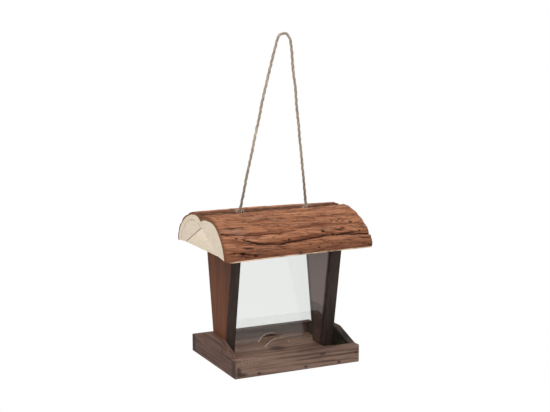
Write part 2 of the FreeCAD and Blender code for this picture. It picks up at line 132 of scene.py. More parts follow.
class RopeLook(bpy.types.PropertyGroup):
    """The jute rope."""

    diameter: length("Diameter", "Thickness of the rope", 4)
    lay: length("Lay", "Length of one turn of a strand", 30)
    strands: whole("Strands", "Strands twisted into the rope", 3)
    fibres: whole("Fibres", "Stray fibres on the loop", 520)
    tuft: whole("Tuft", "Frayed fibres where it enters the roof", 34)
    body: colour("Body", "Colour of the jute", 176, 160, 144)
    shade: colour("Shade", "Colour of its darker fibres", 124, 109, 97)
    stray: colour("Stray", "Colour of its loose fibres", 218, 190, 164)
    seam_shade_and_dark_foot: colour("Darkening", "Colour of its foot, which rubs on the roof", 104, 91, 81)


class BarkLook(bpy.types.PropertyGroup):
    """The bark of the two slabs."""

    thickness: length("Thickness", "Bark between its furrows", 3.2)
    rope_notch: length("Rope notch", "Half width of the holes that the rope comes through", 3.2)
    body: colour("Body", "Main colour of the bark", 160, 106, 77)
    pale: colour("Pale", "Scuffed ridges", 198, 142, 107)
    deep: colour("Deep", "Darker red-brown streaks", 112, 67, 47)
    grey: colour("Grey", "Weathered patches", 152, 122, 104)
    furrow: colour("Furrow", "Cracks and pits", 34, 23, 19)
    # Painted shade along the rear slab's seam, in the valley between the slabs.
    seam_shade_and_dark_foot: colour("Darkening", "Shadow along the seam of the rear slab", 72, 46, 36)


class WoodLook(bpy.types.PropertyGroup):
    """The pale slabs and the stained boards."""

    sawn_edge: length("Sawn edge", "Rounding of the pale pieces' edges", 0.6)
    board_edge: length("Board edge", "Rounding of the boards' edges", 0.8)
    ring: length("Ring", "Distance from one growth ring to the next", 6.5)
    sapwood: colour("Sapwood", "Fresh sawn wood", 218, 204, 185)
    late: colour("Late wood", "Darker part of a growth ring", 190, 167, 138)
    tray: colour("Tray", "Stain of the tray", 142, 108, 91)
    tray_pale: colour("Tray, pale", "Where the stain is thin", 172, 137, 117)
    tray_deep: colour("Tray, deep", "Where the stain has soaked in", 78, 57, 49)
    wall: colour("Wall", "Stain of the walls' faces", 111, 65, 40)
    wall_deep: colour("Wall, deep", "Darker grain of the walls", 84, 50, 34)
    edge: colour("Edge", "Dark stain of the walls' edges", 66, 55, 49)


class PanelLook(bpy.types.PropertyGroup):
    """The clear panels."""

    edge: length("Edge", "Rounding of the panels' edges", 0.25)
    tint: colour("Tint", "Colour of the plastic", 243, 244, 243)
    sawn: colour("Sawn edge", "Frosted cut edges", 190, 178, 168)


class StageLook(bpy.types.PropertyGroup):
    """Floor, lamps and surroundings."""

    drop: length("Floor drop", "Floor below the tray", 450)
    sky: bpy.props.FloatProperty(name="Sky", description="Light from all round", default=0.6)
    key: power("Key", "Power of the lamp above", 36)
    fill: power("Fill", "Power of the lamp in front", 14)


class FeederLook(bpy.types.PropertyGroup):
    """All that a user can change."""

    rope: bpy.props.PointerProperty(type=RopeLook)
    bark: bpy.props.PointerProperty(type=BarkLook)
    wood: bpy.props.PointerProperty(type=WoodLook)
    panel: bpy.props.PointerProperty(type=PanelLook)
    stage: bpy.props.PointerProperty(type=StageLook)


class Finish:
    """A material whose colours are laid one over another, with nodes that are added one by one."""

    def __init__(self, name, base, roughness, shine=0.5):
        self.material = bpy.data.materials.new(name)
        self.material.use_nodes = True
        self.tree = self.material.node_tree
        self.surface = self.tree.nodes["Principled BSDF"]
        self.base = base
        self.give({"Roughness": roughness, "Specular IOR Level": shine})

    def feed(self, socket, value):
        """Links a node's output to a socket, or sets the socket's own value."""
        if isinstance(value, bpy.types.NodeSocket):
            self.tree.links.new(value, socket)
        else:
            socket.default_value = (*value, 1) if socket.type == "RGBA" else value

    def give(self, values):
        """Feeds the surface's own sockets."""
        for key, value in values.items():
            self.feed(self.surface.inputs[key], value)

    def add(self, kind, values, **settings):
        """A new node, with its settings and what its sockets are fed."""
        node = self.tree.nodes.new(f"ShaderNode{kind}")
        for key, value in settings.items():
            setattr(node, key, value)
        for key, value in values.items():
            self.feed(node.inputs[key], value)
        return node

    def place(self, sizes, middle=(0, 0, 0)):
        """Object coordinates from a middle, counted in a pattern's sizes along X, Y and Z, in millimetres."""
        values = {
            "Vector": self.add("TexCoord", {}).outputs["Object"],
            "Location": [m * MM for m in middle],
            "Scale": [s * MM for s in sizes],
        }
        return self.add("Mapping", values, vector_type="TEXTURE").outputs[0]

    def spot(self):
        """Object coordinates as X, Y and Z."""
        here = self.add("TexCoord", {}).outputs["Object"]
        return self.add("SeparateXYZ", {"Vector": here}).outputs

    def away(self, sizes, middle):
        """How far a point is from a middle, counted in sizes along X, Y and Z."""
        way = self.place(sizes, middle)
        return self.add("VectorMath", {0: way}, operation="LENGTH").outputs["Value"]

    def cloud(self, sizes, detail=3, rough=0.55, warp=0.0, middle=(0, 0, 0)):
        """A soft pattern whose patches have the given sizes."""
        values = {
            "Vector": self.place(sizes, middle),
            "Scale": 1,
            "Detail": detail,
            "Roughness": rough,
            "Distortion": warp,
        }
        return self.add("TexNoise", values).outputs[0]

    def scales(self, sizes, warp):
        """Ragged scales of the given sizes: how far a point is from a scale's edge, and each scale's tone."""
        sway = self.add("TexNoise", {"Vector": self.place([1.4 * s for s in sizes]), "Scale": 1, "Detail": 4})
        bent = {0: sway.outputs[1], 1: (warp, warp, warp), 2: self.place(sizes)}
        where = self.add("VectorMath", bent, operation="MULTIPLY_ADD").outputs[0]
        edge = self.add("TexVoronoi", {"Vector": where, "Scale": 1}, feature="DISTANCE_TO_EDGE").outputs[0]
        tone = self.add("TexVoronoi", {"Vector": where, "Scale": 1}, feature="F1").outputs[1]
        return edge, self.add("SeparateColor", {"Color": tone}).outputs[0]

    def hairs(self, sizes, width, middle):
        """Thin wandering lines, 1 in their middle."""
        away = self.work("ABSOLUTE", self.work("SUBTRACT", self.cloud(sizes, 3, 0.5, 0.8, middle), 0.5))
        return self.stretch(away, width, 0)

    def stretch(self, value, low, high):
        """A value from low to high as 0 to 1, and no further."""
        return self.add("MapRange", {"Value": value, "From Min": low, "From Max": high}).outputs[0]

    def work(self, operation, first, second=0):
        """What a Math node makes of two values."""
        return self.add("Math", {0: first, 1: second}, operation=operation).outputs[0]

    def times(self, first, second):
        """One value times another."""
        return self.work("MULTIPLY", first, second)

    def mix(self, share, first, second):
        """Two colours mixed, with a share of the second."""
        return self.add("Mix", {0: share, 6: first, 7: second}, data_type="RGBA").outputs[2]

    def lay(self, over, share, amount=1):
        """Lays a colour over the ones before it by a share, times an amount."""
        if amount != 1:
            share = self.times(share, amount)
        self.base = self.mix(share, self.base, over)

    def painted(self, name):
        """A value that the mesh carries at its points or faces."""
        return self.add("Attribute", {}, attribute_name=name).outputs["Fac"]

    def facing(self, axis):
        """How much the surface faces along an axis, from 0 to 1, from either side."""
        normal = self.add("TexCoord", {}).outputs["Normal"]
        return self.work("ABSOLUTE", self.add("SeparateXYZ", {"Vector": normal}).outputs[axis])

    def finish(self, rough=None, height=None, depth=0.0):
        """Sends the colour, a roughness and a relief of that depth in millimetres to the surface."""
        self.give({"Base Color": self.base})
        if rough is not None:
            self.give({"Roughness": rough})
        if height is not None:
            bump = self.add("Bump", {"Height": height, "Distance": depth * MM, "Strength": 1})
            self.give({"Normal": bump.outputs[0]})
        return self.material


def jute(name, look, body, shade, foot_darkening):
    """Dull plant fibre, paler where it is scuffed, and darker by a share toward its foot, where it comes out
    of the roof.
    """
    made = Finish(name, shade, 0.88, 0.1)
    fibre = made.cloud((1.1, 1.1, 2.6), 4, 0.7)
    slow = made.cloud((9, 9, 22), 2)
    made.lay(body, made.stretch(fibre, 0.34, 0.62))
    made.lay(srgb(196, 181, 164), made.stretch(slow, 0.52, 0.78))
    foot = made.stretch(made.spot()["Z"], 330 * MM, 235 * MM)
    made.lay(look.seam_shade_and_dark_foot, made.times(foot, made.stretch(slow, 0.3, 0.55)), foot_darkening)
    return made.finish(height=fibre, depth=0.35)


def bark_finish(look):
    """Red-brown bark with long streaks, scuffed ridges, grey patches and dark furrows, with painted shade
    along the rear slab's seam and at both ends.
    """
    made = Finish("bark", look.deep, 0.85, 0.06)
    streak = made.cloud((46, 3.2, 3.2), 5, 0.62, 0.6)
    fine = made.cloud((12, 0.9, 0.9), 3, 0.6)
    patch = made.cloud((58, 20, 20), 3, 0.5, 0.4, (20, 7, 3))
    rise = made.painted("rise")
    edge, tone = made.scales((30, 4.2, 4.2), 0.9)
    hair = made.times(made.hairs((64, 5, 5), 0.02, (9, 4, 2)), made.stretch(patch, 0.4, 0.55))
    flaked = made.times(made.stretch(edge, 0.1, 0.01), made.stretch(streak, 0.66, 0.42))
    made.lay(look.body, made.stretch(streak, 0.36, 0.56))
    made.lay(look.pale, made.stretch(tone, 0.55, 0.95), 0.5)
    made.lay(look.deep, made.stretch(tone, 0.35, 0.05), 0.45)
    made.lay(look.pale, made.times(made.stretch(rise, 0.45, 0.95), made.stretch(fine, 0.3, 0.65)))
    made.lay(look.grey, made.stretch(patch, 0.54, 0.72), 0.5)
    made.lay(look.deep, made.stretch(rise, 0.4, 0.0), 0.45)
    made.lay(look.deep, made.painted("lower"), 0.85)
    made.lay(srgb(78, 46, 34), flaked, 0.75)
    made.lay(srgb(58, 34, 26), hair, 0.8)
    # Painted shade on the rear bark along the seam, in the valley behind the front slab, broken up by a fine
    # pattern.
    made.lay(look.seam_shade_and_dark_foot, made.work("SUBTRACT", made.painted("seam_shade_and_dark_foot"), made.stretch(fine, 0.55, 1.2)))
    made.lay(look.furrow, made.stretch(made.painted("furrow"), 0.32, 0.8))
    # Painted shade at the bark's ends.
    made.lay(srgb(104, 70, 48), made.painted("end"), 0.75)
    made.lay(srgb(126, 86, 56), made.stretch(made.painted("cut"), 0.1, 0.4))
    made.lay(srgb(240, 210, 180), made.painted("bare"))
    relief = made.work("SUBTRACT", made.work("ADD", fine, streak), made.times(flaked, 0.6))
    return made.finish(made.stretch(fine, -0.6, 0.9), relief, 0.6)


def sapwood(name, look, middle, tone, old_ring):
    """Pale sawn wood with faint growth rings round a log's middle, one darker ring and faint saw marks."""
    made = Finish(name, look.sapwood, 0.72, 0.3)
    values = {
        "Vector": made.place((1000, 1000, 1000), middle),
        "Scale": 0.314 / look.ring,
        "Distortion": 2.2,
        "Detail": 2,
        "Detail Scale": 60,
    }
    rings = made.add("TexWave", values, wave_type="RINGS", rings_direction="X", wave_profile="SAW").outputs[1]
    dapple = made.cloud((30, 14, 14), 3)
    marks = made.cloud((40, 40, 0.9), 3, 0.6)
    pores = made.cloud((6, 0.5, 0.5), 2)
    made.lay(look.late, made.times(made.stretch(rings, 0.55, 1.0), made.stretch(dapple, 0.35, 0.75)))
    made.lay(tone, made.stretch(dapple, 0.45, 0.8))
    made.lay(look.late, made.stretch(marks, 0.5, 0.75), 0.25)
    sway = made.times(made.work("SUBTRACT", dapple, 0.5), 6)
    radius = made.work("ADD", made.away((ENDLESS, 1, 1), middle), sway)
    old = made.stretch(made.work("ABSOLUTE", made.work("SUBTRACT", radius, old_ring)), 1.3, 0.2)
    made.lay(srgb(178, 150, 122), made.times(old, made.stretch(dapple, 0.35, 0.6)))
    made.lay(srgb(104, 74, 50), made.painted("worn_edge"))
    return made.finish(height=made.work("ADD", marks, pores), depth=0.25)


def grain_sizes(along, run, across):
    """Sizes of a pattern that runs along one axis."""
    return tuple(run if axis == along else across for axis in "XYZ")


def board_finish(name, along, tones, middle, dark_spots=(), scuffs=()):
    """Stained softwood: long grain, dark lines, soaked end grain and worn edges. Dark spots (knots, stains,
    and on the tray floor a painted shadow) and scuffs are middles and sizes."""
    pale, body, deep = tones
    made = Finish(name, body, 0.75, 0.2)
    grain = made.cloud(grain_sizes(along, 110, 6.5), 5, 0.62, 1.0, middle)
    lines = made.cloud(grain_sizes(along, 150, 3.2), 4, 0.6, 0.5, middle)
    fibre = made.cloud(grain_sizes(along, 14, 0.6), 3, 0.6)
    soak = made.cloud(grain_sizes(along, 60, 28), 3, 0.5, 0.3, middle)
    made.lay(pale, made.stretch(grain, 0.36, 0.62))
    made.lay(deep, made.stretch(lines, 0.5, 0.6), 0.8)
    made.lay(deep, made.stretch(soak, 0.5, 0.78), 0.55)
    made.lay(pale, made.stretch(fibre, 0.35, 0.75), 0.22)
    for spot, sizes in dark_spots:
        ragged = made.work("ADD", made.away(sizes, spot), made.times(grain, 0.7))
        made.lay(deep, made.stretch(made.work("SUBTRACT", ragged, 0.35), 1.0, 0.35), 0.85)
    specks = made.stretch(made.cloud(grain_sizes(along, 3.4, 1.8), 3, 0.7), 0.54, 0.6)
    for spot, sizes in scuffs:
        rubbed = made.times(made.stretch(made.away(sizes, spot), 1.0, 0.4), specks)
        made.lay(srgb(172, 152, 139), rubbed, 0.55)
    made.lay(deep, made.stretch(made.facing(along), 0.7, 0.95), 0.8)
    made.lay(pale, made.painted("worn_edge"), 0.2)
    return made.finish(made.stretch(fibre, -1.2, 1.2), made.work("ADD", fibre, lines), 0.35)


def inner_strip(made):
    """1 on the walls' inner faces outside the panels and a little way behind the front one, which are
    darkened like the edges, and 1 on all of them."""
    here = made.spot()
    x, y, z = [made.work("ABSOLUTE", here[axis]) for axis in "XYZ"]
    lean = made.times(z, WALL_LEAN)
    outside = made.stretch(made.work("SUBTRACT", y, lean), PANEL_LINE - 2 * MM, PANEL_LINE - 1 * MM)
    forward = made.work("SUBTRACT", made.times(here["Y"], -1), lean)
    behind = made.stretch(forward, PANEL_LINE - 6.5 * MM, PANEL_LINE - 5 * MM)
    inside = made.stretch(x, INNER_FACE + 5 * MM, INNER_FACE + 4.5 * MM)
    return made.times(made.work("MAXIMUM", outside, behind), inside), inside


def wall_finish(look):
    """Red-brown faces with upright grain, and edges stained nearly black. The inner faces are lightened by
    painted light, and darkened low down by a painted reflection of the tray.
    """
    made = Finish("wall_stain", look.wall_deep, 0.75, 0.12)
    grain = made.cloud((7, 7, 120), 5, 0.6, 0.9)
    lines = made.cloud((3.4, 3.4, 190), 4, 0.65, 0.6, (3, 5, 11))
    streak = made.cloud((15, 15, 100), 2, 0.5, 0.5, (8, 2, 40))
    fibre = made.cloud((0.6, 0.6, 15), 3, 0.6)
    made.lay(look.wall, made.stretch(grain, 0.36, 0.64))
    made.lay(look.wall_deep, made.stretch(lines, 0.54, 0.68), 0.45)
    made.lay(look.wall_deep, made.stretch(streak, 0.5, 0.68), 0.6)
    edge = made.mix(made.stretch(grain, 0.3, 0.7), look.edge, srgb(48, 39, 35))
    strip, inside = inner_strip(made)
    # Painted light and reflection: the inner faces, seen through the panels, are lightened toward a pale
    # grey.
    made.lay(srgb(138, 114, 106), inside, 0.6)
    # Painted reflection: the inner faces are darkened below about 77 mm, with a ragged top, standing in for
    # the tray's reflection in the front panel.
    inner_darkening = made.work("ADD", made.spot()["Z"], made.times(grain, 5 * MM))
    made.lay(srgb(56, 43, 39), made.times(inside, made.stretch(inner_darkening, 79 * MM, 76 * MM)), 0.75)
    made.lay(edge, made.stretch(made.facing("Y"), 0.75, 0.9))
    made.lay(edge, strip, 0.9)
    return made.finish(made.stretch(fibre, -1.0, 1.3), made.work("ADD", fibre, lines), 0.3)


def clear_acrylic(look):
    """Clear plastic sheet."""
    made = Finish("acrylic", look.tint, 0.03)
    made.give({"Transmission Weight": 1, "IOR": ACRYLIC_INDEX})
    return made.finish()


def frosted_edge_glow(look):
    """The sheet's frosted cut edges, with a painted glow from emission that stands in for the light running
    inside the sheet.
    """
    made = Finish("acrylic_edge_glow", srgb(128, 117, 107), 0.4)
    scratch = made.cloud((0.8, 0.8, 0.8), 2)
    made.lay(look.sawn, made.stretch(scratch, 0.2, 0.8))
    made.give({"IOR": ACRYLIC_INDEX, "Transmission Weight": 0.12})
    # Painted glow: the edges give off a faint warm light of their own.
    made.give({"Emission Color": (1, 0.85, 0.75), "Emission Strength": 0.22})
    return made.finish(height=scratch, depth=0.1)


def nail_finish():
    """Dull steel wire, rusted in places."""
    made = Finish("nail_steel", srgb(52, 44, 40), 0.6, 0.3)
    rust = made.cloud((1.2, 1.2, 1.2), 3)
    made.lay(srgb(46, 28, 20), made.stretch(rust, 0.4, 0.65))
    made.give({"Metallic": 0.3})
    return made.finish()


def plain_rays(tree):
    """1 for rays that come from the camera, a reflection or through the panels, and else 0."""
    path = tree.nodes.new("ShaderNodeLightPath")
    total = path.outputs["Is Camera Ray"]
    for other in ("Is Glossy Ray", "Is Transmission Ray"):
        node = tree.nodes.new("ShaderNodeMath")
        node.operation = "MAXIMUM"
        tree.links.new(total, node.inputs[0])
        tree.links.new(path.outputs[other], node.inputs[1])
        total = node.outputs[0]
    return total


def pale_floor():
    """A pale floor that shows white."""
    made = Finish("pale_floor", (0.8, 0.8, 0.8), 0.9)
    glow = made.add("Emission", {}).outputs[0]
    shown = made.add("MixShader", {0: plain_rays(made.tree), 1: made.surface.outputs[0], 2: glow})
    made.feed(made.tree.nodes["Material Output"].inputs["Surface"], shown.outputs[0])
    return made.finish()


def light_world(scene, strength):
    """Even white light from all round, which shows as plain white."""
    world = bpy.data.worlds.new("white_room")
    world.use_nodes = True
    tree = world.node_tree
    background = tree.nodes["Background"]
    background.inputs["Color"].default_value = (1, 1, 1, 1)
    level = tree.nodes.new("ShaderNodeMapRange")
    tree.links.new(plain_rays(tree), level.inputs["Value"])
    level.inputs["To Min"].default_value = strength
    tree.links.new(level.outputs[0], background.inputs["Strength"])
    scene.world = world


def deselect():
    """Leaves nothing selected, in object mode."""
    if bpy.context.mode != "OBJECT":
        bpy.ops.object.mode_set(mode="OBJECT")
    bpy.ops.object.select_all(action="DESELECT")


def pick(piece):
    """Selects one object alone and makes it the active one."""
    deselect()
    piece.select_set(True)
    bpy.context.view_layer.objects.active = piece


def copy_of(node, name):
    """A merged copy of a CAD node, with whole flat faces, free of its body."""
    pick(NODES[node])
    bpy.ops.object.duplicate()
    piece = bpy.context.active_object
    bpy.ops.object.parent_clear(type="CLEAR_KEEP_TRANSFORM")
    piece.name = name
    piece.data.name = name
    for key in list(piece.keys()):
        del piece[key]
    if piece.data.has_custom_normals:
        bpy.ops.mesh.customdata_custom_splitnormals_clear()
    bpy.ops.object.mode_set(mode="EDIT")
    bpy.ops.mesh.select_all(action="SELECT")
    bpy.ops.mesh.remove_doubles(threshold=0.002 * MM)
    bpy.ops.mesh.dissolve_limited(angle_limit=math.radians(0.3))
    bpy.ops.object.mode_set(mode="OBJECT")
    return piece


def outer_edges(piece):
    """The corners of a board: edges between two faces that nothing of the board lies in front of."""
    mesh = piece.data
    places = np.array([v.co for v in mesh.vertices])
    outside = {}
    for face in mesh.polygons:
        if ((places - np.array(face.center)) @ np.array(face.normal)).max() < 0.01 * MM:
            for key in face.edge_keys:
                outside.setdefault(key, []).append(face.normal)
    return {
        key
        for key, normals in outside.items()
        if len(normals) == 2 and normals[0].angle(normals[1]) > math.radians(12)
    }


def clear_selection(piece):
    """Leaves no point, edge or face of a piece's mesh selected."""
    for kind in (piece.data.vertices, piece.data.edges, piece.data.polygons):
        kind.foreach_set("select", [False] * len(kind))


def round_edges(piece, keys, radius):
    """Rounds the named edges and marks the faces that this makes as worn."""
    pick(piece)
    clear_selection(piece)
    for edge in piece.data.edges:
        edge.select = edge.key in keys
    bpy.ops.object.mode_set(mode="EDIT")
    bpy.ops.mesh.select_mode(type="EDGE")
    bpy.ops.mesh.bevel(offset=radius, segments=2, profile=0.5, affect="EDGES", clamp_overlap=True)
    bpy.ops.object.mode_set(mode="OBJECT")
    worn = piece.data.attributes.new("worn_edge", "FLOAT", "FACE")
    places = [vertex.co for vertex in piece.data.vertices]
    for face in piece.data.polygons:
        longest = max((places[a] - places[b]).length for a, b in face.edge_keys)
        worn.data[face.index].value = float(face.select and face.area < 1.2 * radius * longest)
    bpy.ops.object.shade_smooth_by_angle(angle=math.radians(50))
    even = piece.modifiers.new("even_normals", "WEIGHTED_NORMAL")
    even.keep_sharp = True
    bpy.ops.object.modifier_apply(modifier=even.name)


def rounded_copy(node, name, radius):
    """A merged copy of a CAD node with its outer edges rounded."""
    piece = copy_of(node, name)
    round_edges(piece, outer_edges(piece), radius)
    return piece


def dress(piece, material, body):
    """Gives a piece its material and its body."""
    piece.data.materials.clear()
    piece.data.materials.append(material)
    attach(piece, body)


def distances(line):
    """How far along a line each of its points is."""
    return np.concatenate([[0], np.cumsum(np.linalg.norm(np.diff(line, axis=0), axis=1))])


def directions(line):
    """Which way a line runs at each of its points."""
    ahead = np.gradient(line, axis=0)
    return ahead / np.linalg.norm(ahead, axis=1)[:, None]


def points_at(at, along, line):
    """The places on a line at given values of what runs along it."""
    return np.stack([np.interp(at, along, line[:, k]) for k in range(line.shape[1])], axis=-1)


def even_line(line, step):
    """A line again, with points a step apart."""
    along = distances(line)
    at = np.linspace(0, along[-1], max(2, round(along[-1] / step) + 1))
    return points_at(at, along, line)


def smooth_line(points, step):
    """A smooth line through points, evenly stepped."""
    p = np.array(points, float)
    p = np.vstack([2 * p[0] - p[1], p, 2 * p[-1] - p[-2]])
    line = []
    for a, b, c, d in zip(p, p[1:], p[2:], p[3:]):
        for t in np.linspace(0, 1, 30, endpoint=False):
            curve = 2 * b + (c - a) * t + (2 * a - 5 * b + 4 * c - d) * t**2 + (3 * b - a - 3 * c + d) * t**3
            line.append(curve / 2)
    line.append(p[-2])
    return even_line(np.array(line), step)


# The rope's route, in millimetres, as X and Z in the plane of the ridge.
LEFT_HOLE = (-59.8, 217)
RIGHT_HOLE = (55.2, 217)
LOOP_ROUTE = [LEFT_HOLE, (-19.5, 394), (1.2, 468), (7.2, 491.4), (23.9, 491.8), (29.5, 466), RIGHT_HOLE]
LEFT_TAIL_ROUTE = [LEFT_HOLE, (-64.6, 196), (-97.0, 196)]
RIGHT_TAIL_ROUTE = [RIGHT_HOLE, (57.6, 196), (97.0, 196)]


def route_line(name, route, step):
    """Evenly stepped points of the smooth spline that a route of X and Z points controls."""
    curve = bpy.data.curves.new(name, "CURVE")
    curve.dimensions = "3D"
    curve.resolution_u = 60
    spline = curve.splines.new("NURBS")
    spline.points.add(len(route) - 1)
    for point, (x, z) in zip(spline.points, route):
        point.co = (x * MM, 0, z * MM, 1)
    spline.order_u = 3
    spline.use_endpoint_u = True
    holder = bpy.data.objects.new(name, curve)
    mesh = bpy.data.meshes.new_from_object(holder)
    line = np.array([v.co for v in mesh.vertices])
    bpy.data.meshes.remove(mesh)
    bpy.data.curves.remove(curve)
    return even_line(line, step)


def steady_frames(line):
    """Two directions across a line at each of its points, which turn no more than the line does."""
    ahead = directions(line)
    side = np.cross(ahead[0], (0.3, 1, 0.2))
    sides = []
    for direction in ahead:
        side = side - direction * (side @ direction)
        side = side / np.linalg.norm(side)
        sides.append(side)
    sides = np.array(sides)
    return sides, np.cross(ahead, sides)


def make_threads(name, threads, radius, sides):
    """One mesh of round threads. Each thread is its points and the share of the radius at each of them."""
    curve = bpy.data.curves.new(name, "CURVE")
    curve.dimensions = "3D"
    curve.bevel_depth = radius
    curve.bevel_resolution = sides
    curve.use_fill_caps = True
    for points, shares in threads:
        spline = curve.splines.new("POLY")
        spline.points.add(len(points) - 1)
        spline.points.foreach_set("co", np.column_stack([points, np.ones(len(points))]).ravel())
        spline.points.foreach_set("radius", shares)
    piece = bpy.data.objects.new(name, curve)
    bpy.context.scene.collection.objects.link(piece)
    pick(piece)
    bpy.ops.object.convert(target="MESH")
    piece = bpy.context.active_object
    bpy.ops.object.shade_smooth()
    return piece


def make_strands(name, line, look, thickness, seed):
    """A rope of twisted strands along a line."""
    across, over = steady_frames(line)
    count = look.strands
    # Strands that just touch one another are pressed together by a few hundredths.
    strand = thickness / 2 / (1 + 1 / math.sin(math.pi / count)) * 1.08
    reach = thickness / 2 - strand
    along = distances(line)
    # The rope sways a little where it hangs free, and its strands turn and swell unevenly.
    free = np.clip(np.minimum(along, along[-1] - along) / (60 * MM), 0, 1) ** 2
    sway = np.array([[noise.noise(Vector((s * 28, way, seed))) for way in (3.5, 8.5)] for s in along])
    line = line + 1.1 * MM * free[:, None] * (sway[:, :1] * across + sway[:, 1:] * over)
    threads = []
    for k in range(count):
        turn = along / look.lay * math.tau + k * math.tau / count
        turn = turn + np.array([0.5 * noise.noise(Vector((s * 45, k * 3, seed))) for s in along])
        points = line + reach * (np.cos(turn)[:, None] * across + np.sin(turn)[:, None] * over)
        shares = np.array([1 + 0.32 * noise.noise(Vector((s * 110, k * 5, seed + 9))) for s in along])
        threads.append((points, shares))
    return make_threads(name, threads, strand, 1)


def make_fibres(name, line, thickness, count, tuft, seed):
    """Stray fibres that stand off a rope, with a frayed tuft at each end of its line."""
    chance = random.Random(seed)
    across, over = steady_frames(line)
    ahead = directions(line)
    threads = []
    steps = np.linspace(0, 1, 5)
    places = [(chance.randrange(2, len(line) - 2), False) for _ in range(count)]
    for _ in range(tuft):
        foot = chance.randrange(7, 13)
        places += [(foot, True), (len(line) - 1 - foot, True)]
    for i, frayed in places:
        angle = chance.uniform(0, math.tau)
        out = math.cos(angle) * across[i] + math.sin(angle) * over[i]
        along = ahead[i] * chance.choice((-1, 1))
        lift = chance.uniform(0.2, 0.9)
        reach = chance.uniform(2.0, 5.0) * MM
        start = line[i] + out * thickness * 0.42
        if frayed:
            reach *= 1.7
            rise = chance.uniform(0.2, 1.0)
            points = np.array([start + reach * (out * s + (0, 0, rise * s - 0.8 * s * s)) for s in steps])
            threads.append((points, 3.4 - 2.2 * steps))
        else:
            points = np.array([start + reach * (out * lift * s**1.6 + along * s) for s in steps])
            threads.append((points, 1 - 0.6 * steps))
    return make_threads(name, threads, 0.085 * MM, 0)


def knot_line(side):
    """An overhand knot outside a wall, as a closed trefoil drawn tight round the rope's end."""
    low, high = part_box(f"{side}_knot")
    middle = np.array((low + high) / 2)
    t = np.linspace(0, math.tau, 90)
    size, depth = 1.16 * MM, 1.55 * MM
    return middle + np.column_stack([
        -depth * np.sin(3 * t),
        size * (np.sin(t) + 2 * np.sin(2 * t)),
        size * (2 * np.cos(2 * t) - np.cos(t)),
    ])


# Half the roof's length along the ridge, in millimetres.
ROOF_HALF = 119
# How many points an outline has when it is blended between the roof's ends, and the step it is drawn with.
OUTLINE_POINTS = 500
OUTLINE_STEP = 0.4
# How many cells the bark's grid has along the ridge and across it.
BARK_CELLS = (190, 170)
# Bark sizes in millimetres: how far its plates rise, how far the front bark's lip juts out at the right end,
# how far its eave droops at the left end, how much thicker it is by the ridge, and the rear bark's bulge.
PLATE_RISE = 0.4
FRONT_LIP = 2.4
FRONT_DROOP = 4
RIDGE_EXTRA = 2.8
REAR_BULGE = 1.3
# How far the slabs reach past the blocks at the right end, and how far back their seam bends there.
RIGHT_REACH = 2.8
SEAM_BEND = 6.5
# How far a slab's outer face lies under the outline over its bark at least and at most, before it is moved
# to a small gap under the bark, in millimetres.
COVER_LEAST, COVER_MOST, COVER_GAP = 2, 8, 0.3
# What the bark's finish reads from its mesh.
BARK_MARKS = ("rise", "furrow", "seam_shade_and_dark_foot", "lower", "bare", "end")


class Log(NamedTuple):
    """One slab of the roof with its bark, in millimetres."""

    name: str
    # -1 in front of the ridge and 1 behind it.
    side: int
    # Outlines over the bark at the left and right ends, as Y and Z from the ridge to the eave.
    left: list
    right: list
    # The log's middle as Y and Z.
    middle: tuple
    # Angles round the middle from its top to the seam and to the eave, in degrees.
    turn: tuple
    # Main furrows: depth, and shares of the way from the seam to the eave, from the left end to the right.
    furrows: list
    # Cracks as X and the arc from the outline's first point, with depth and half width.
    cracks: list
    # Pits as X, arc and size.
    pits: list
    # Radius of a darker growth ring, or 0.
    old_ring: float
    seed: int


class BarkPoint(NamedTuple):
    """A point of the outline over the bark, with its arc from the outline's first point, in millimetres."""

    x: float
    y: float
    z: float
    arc: float
    to_seam: float
    to_eave: float


FRONT = Log(
    name="front",
    side=-1,
    left=[
        (8, 222.8), (-6, 227.8), (-22, 229.4), (-45, 225.6), (-65, 214.4), (-80, 197), (-87, 181.5),
        (-88, 175.6),
    ],
    right=[
        (8, 228.2), (-10, 227.5), (-32, 222.5), (-52, 214), (-67, 204.7), (-79, 194.6), (-86, 184),
        (-87, 175.8),
    ],
    middle=(-19, 155),
    turn=(-15.3, 73),
    furrows=[
        (0.5, (0.17, 0.2, 0.18, 0.21, 0.22)),
        (0.5, (0.41, 0.43, 0.4, 0.38, 0.41)),
        (1.0, (0.64, 0.7, 0.64, 0.58, 0.6)),
        (1.6, (0.73, 0.83, 0.81, 0.75, 0.78)),
    ],
    cracks=[
        ([(-86, 93), (-64, 100), (-25, 102), (17, 96), (58, 91.5), (119, 95)], 2.2, 1.25),
        ([(54, 91), (88, 92.2), (119, 93.8)], 1.4, 1.5),
        ([(-119, 82), (-94, 84), (-65, 86.5), (-24, 83.5), (8, 79)], 1.0, 0.7),
        ([(-116, 113), (-92, 114), (-62, 119)], 1.1, 0.8),
    ],
    pits=[
        (-114, 81, 1.6), (-90.5, 114, 2.8), (-70, 118, 1.9), (-103, 113, 1.3), (-84, 93, 1.6),
        (-95, 90, 1.3), (45.5, 85, 2.2), (60.5, 90.5, 2.2), (97.5, 68, 1.9), (104.5, 87, 1.3),
        (-25, 102, 1.6), (-13, 96, 1.5), (-4, 99, 1.5), (31, 111, 1.2), (52.5, 23, 1.0), (-72, 56, 1.2),
    ],
    old_ring=0,
    seed=11,
)
